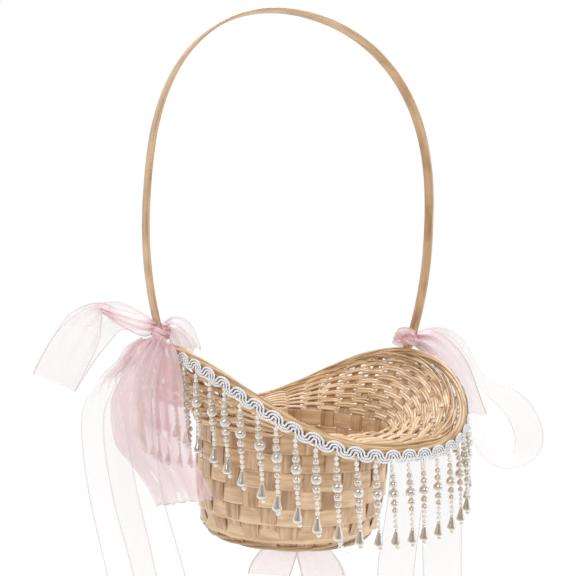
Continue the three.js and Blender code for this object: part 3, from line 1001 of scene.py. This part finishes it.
def knot_ball(knot, radii, organza, name):
    """A gathered knot: an oval ball whose surface is pleated lengthways and pinched askew."""
    across = np.linspace(0, math.pi, 33)
    around = np.arange(64) * TAU / 64
    a, b = np.meshgrid(across, around, indexing="ij")
    turn = b + 0.7 * np.cos(a)
    pleat = 1 + (0.10 * np.sin(7 * turn) + 0.05 * np.sin(15 * turn + 2)) * np.sin(a)
    local = np.stack([np.cos(a), np.sin(a) * np.cos(b) * pleat, np.sin(a) * np.sin(b) * pleat], -1) * radii
    rings = from_knot(knot, local[..., [0, 2, 1]])
    grid = {"rings": rings, "closed": False, "round": True, "tone": 0.5, "look": 0}
    grid["extra"] = {"cover": np.full(rings.shape[:2], 0.93), "selvedge": np.zeros(rings.shape[:2])}
    return piece(name, [grid], [organza])


def ribbon_piece(name, knot, rows, organza, body, held, nodes=(), rests=(), **more):
    """A ribbon, what it rides on and the nodes it stands for; how it is held and what it rests on are not
    used.
    """
    made, flat = ribbon_sheet(name, knot, rows, organza, **more)
    show(made, body, "organza", *nodes)


def mirrored(rows):
    """The same ribbon on the bow's other side."""
    return [(-r, u, f, w, (-a, b, c)) for r, u, f, w, (a, b, c) in rows]


LEFT_FALL = [  # rows of up, left edge, right edge
    (-3, -5, 6),
    (-10, -18, 14),
    (-30, -23, 20),
    (-46, -28, 22),
    (-70, -24, 28),
    (-82, -13, 35),
    (-94, -1, 42),
    (-102, 6, 44),
]


def fall_sheet(name, knot, edges, organza):
    """A gathered fall: between its edges the cloth hangs in four folds, sin(phase) + 0.35 sin(2.3 phase),
    that deepen towards the hem. It clears the fringe behind it, which the rim's bend carries forwards to the
    right."""
    rows = smooth(edges, 80)
    t = np.linspace(0, 1, 121)
    s = np.linspace(0, 1, 80)[:, None]
    right = rows[:, 1:2] + (rows[:, 2:3] - rows[:, 1:2]) * t
    phase = TAU * 4 * (t + 0.04 * np.sin(TAU * 2 * t)) + 0.9 * np.sin(2.2 * s)
    deep = 0.5 + 0.9 * s
    wave = np.sin(phase) + 0.35 * np.sin(2.3 * phase + 1.1)
    front = 10 + 0.49 * (right + np.sqrt(right**2 + 60))
    up = rows[:, :1] + 15 * (t - 0.5) * s**3 + 0.3 * np.sin(2 * phase) * s**8
    local = np.stack([right + 0.5 * deep * np.cos(phase), up, front + deep * wave], -1)
    cover = 0.77 - 0.24 * s**2.5 + 0.07 * np.cos(phase)
    cover = cover - 0.25 * np.clip(t - 0.72, 0, 1) / 0.28 * (1 - s)
    edge = np.maximum(0, (np.abs(t - 0.5) * 2 - 0.985) / 0.015) + np.maximum(0, (s - 0.985) / 0.015)
    grid = sheet_grid(from_knot(knot, local), tone=0.7, cover=cover, selvedge=np.clip(edge, 0, 1))
    return piece(name, [grid], [organza], weld=False)


def tail(side, which, knot, rows, organza):
    """A ribbon tail, on a body of its own."""
    body = f"{side}_tail_{which}"
    ribbon_piece(f"{side}_{which}_tail", knot, rows, organza, body, "hung", [body], [f"{side}_knot"])


def bows(organza, gathered, tight):
    """The three bows with their loops, falls and tails."""
    left, right = KNOTS["left"], KNOTS["right"]
    show(knot_ball(left, (6.8, 6.0, 6.0), tight, "left_knot"), "basket", "organza", "left_bow")
    ribbon_piece("left_loop", left, LEFT_LOOP, organza, "basket", "hung", rests=["left_knot"])
    ribbon_piece("left_small_loop", left, LEFT_SMALL, organza, "basket", "hung", rests=["left_knot"])
    made = fall_sheet("left_fall", left, LEFT_FALL, gathered)
    show(made, "basket", "organza", "left_drape")
    tail("left", "front", left, LEFT_TAIL_FRONT, organza)
    tail("left", "back", left, LEFT_TAIL_BACK, organza)
    show(knot_ball(right, (8.0, 6.5, 6.0), tight, "right_knot"), "basket", "organza", "right_bow")
    rests = ["right_knot"]
    ribbon_piece("right_loop", right, RIGHT_LOOP, organza, "basket", "hung", rests=rests)
    ribbon_piece("right_stub", right, RIGHT_STUB, tight, "basket", "hung", rests=rests, pleats=3, sheer=0.45)
    drape = {"nodes": ["right_drape"], "rests": rests, "pleats": 2, "sheer": 0.34}
    ribbon_piece("right_fall", right, RIGHT_FALL, organza, "basket", "gathered", **drape)
    tail("right", "front", right, RIGHT_TAIL_FRONT, organza)
    tail("right", "back", right, RIGHT_TAIL_BACK, organza)
    show(knot_ball(LOWER_KNOT, (5.5, 5.0, 4.5), tight, "lower_knot"), "basket", "organza", "lower_bow")
    for name, rows in (("lower_right_loop", LOWER_LOOP), ("lower_left_loop", mirrored(LOWER_LOOP))):
        ribbon_piece(name, LOWER_KNOT, rows, gathered, "basket", "hung", rests=["lower_knot"])


# ---- studio --------------------------------------------------------------------------------------------

FLOOR_Z = -1.3


def area_light(name, place, target, size, watts):
    data = bpy.data.lights.new(name, "AREA")
    data.size = size
    data.energy = watts
    lamp = bpy.data.objects.new(name, data)
    lamp.location = place
    lamp.rotation_euler = (Vector(target) - Vector(place)).to_track_quat("-Z", "Y").to_euler()
    bpy.context.collection.objects.link(lamp)


def surround():
    """A white surround, full behind the object and dimmer at its sides, with a dark card where the camera
    stands, as glossy things are lit in a studio. Seen directly it is white all round."""
    world = bpy.data.worlds.new("studio")
    world.use_nodes = True
    nodes = Nodes(world.node_tree)
    a = CAMERA_AZIMUTH
    card = (math.sin(a), -math.cos(a), 0)
    toward = nodes.node("TexCoord", {}, {}, "Generated")
    facing = nodes.node("VectorMath", {"operation": "DOT_PRODUCT"}, {0: toward, 1: card}, "Value")
    sides = nodes.mix(nodes.above(facing, -0.75, -0.35), (1, 1, 1), (0.6, 0.6, 0.6))
    shade = nodes.mix(nodes.above(facing, 0.55, 0.95), sides, (0.12, 0.11, 0.105))
    sight = nodes.node("LightPath", {}, {}, "Is Camera Ray")
    background = world.node_tree.nodes["Background"]
    nodes.put(background.inputs["Color"], nodes.mix(sight, shade, (1, 1, 1)))
    bpy.context.scene.world = world


def studio():
    """A plain white floor far below, the surround and soft lights."""
    mesh = bpy.data.meshes.new("floor")
    corners = [(-30, -30, FLOOR_Z), (30, -30, FLOOR_Z), (30, 30, FLOOR_Z), (-30, 30, FLOOR_Z)]
    mesh.from_pydata(corners, [], [(0, 1, 2, 3)])
    white = Look("studio floor", Base_Color=(0.9, 0.9, 0.9, 1), Roughness=0.9)
    white.feed(Emission_Color=(1, 1, 1, 1), Emission_Strength=0.435)
    mesh.materials.append(white.material)
    floor = bpy.data.objects.new("studio_floor", mesh)
    bpy.context.collection.objects.link(floor)
    surround()
    bpy.context.scene.view_settings.view_transform = "Standard"
    middle = (0, 0, -0.25)
    area_light("key", (-0.75, -0.75, 0.55), middle, 0.5, 4.5)
    area_light("fill", (1.0, -0.9, 0.1), middle, 0.8, 2.5)
    area_light("top", (0.3, 0.5, 0.9), middle, 0.6, 10)
    area_light("left_glint", (-0.95, -0.45, 0.1), middle, 0.14, 1.6)
    area_light("right_glint", (0.35, -1.1, 0.15), middle, 0.14, 1.6)


# ---- assembly ------------------------------------------------------------------------------------------

make_camera()
bamboo, splint = bamboo_look(), splint_look()
wicker = wicker_look("round wicker", (0.46, 0.27, 0.13), (0.74, 0.51, 0.30), (0.90, 0.71, 0.49))
border = wicker_look("border wicker", (0.36, 0.21, 0.09), (0.58, 0.38, 0.19), (0.74, 0.53, 0.31))
foot = wicker_look("foot wicker", (0.22, 0.125, 0.05), (0.38, 0.24, 0.11), (0.52, 0.35, 0.18))
# deep and pale: the pearls' ivory with a painted reflection, dark at the centre and bright at the rim
pearl = pearl_look("ivory pearl", (0.58, 0.51, 0.43), (0.98, 0.97, 0.95), 0.5, 0.08)
seed = pearl_look("seed pearl", (0.74, 0.70, 0.63), (0.97, 0.96, 0.95), 0.1, 0.12)
thread = plain_look("white thread", (0.88, 0.88, 0.88), 0.7)
# the first colour is painted shade for the grooves between the plies
gimp = cord_look("gimp cord", (0.66, 0.64, 0.65), (0.92, 0.91, 0.91), 6.0)
# near black: painted shade for the gaps in the braid
gap_shade_strip = plain_look("braid backing", (0.13, 0.12, 0.125), 0.8)
organza = organza_look("organza", (0.84, 0.77, 0.76), (0.86, 0.63, 0.66), 3.0)
gathered = organza_look("gathered organza", (0.86, 0.66, 0.68), (0.76, 0.52, 0.54), 9.0)
tight = organza_look("knotted organza", (0.88, 0.65, 0.68), (0.89, 0.61, 0.65), 5.0)
lower_wall(splint)
stakes(splint)
flare_weavers(wicker)
rim_bundle(border)
base_bundle(foot)
woven_floor(splint)
handle(bamboo)
gimp_braid(gimp, gap_shade_strip)
pearl_fringe(pearl, seed, thread)
bows(organza, gathered, tight)
studio()
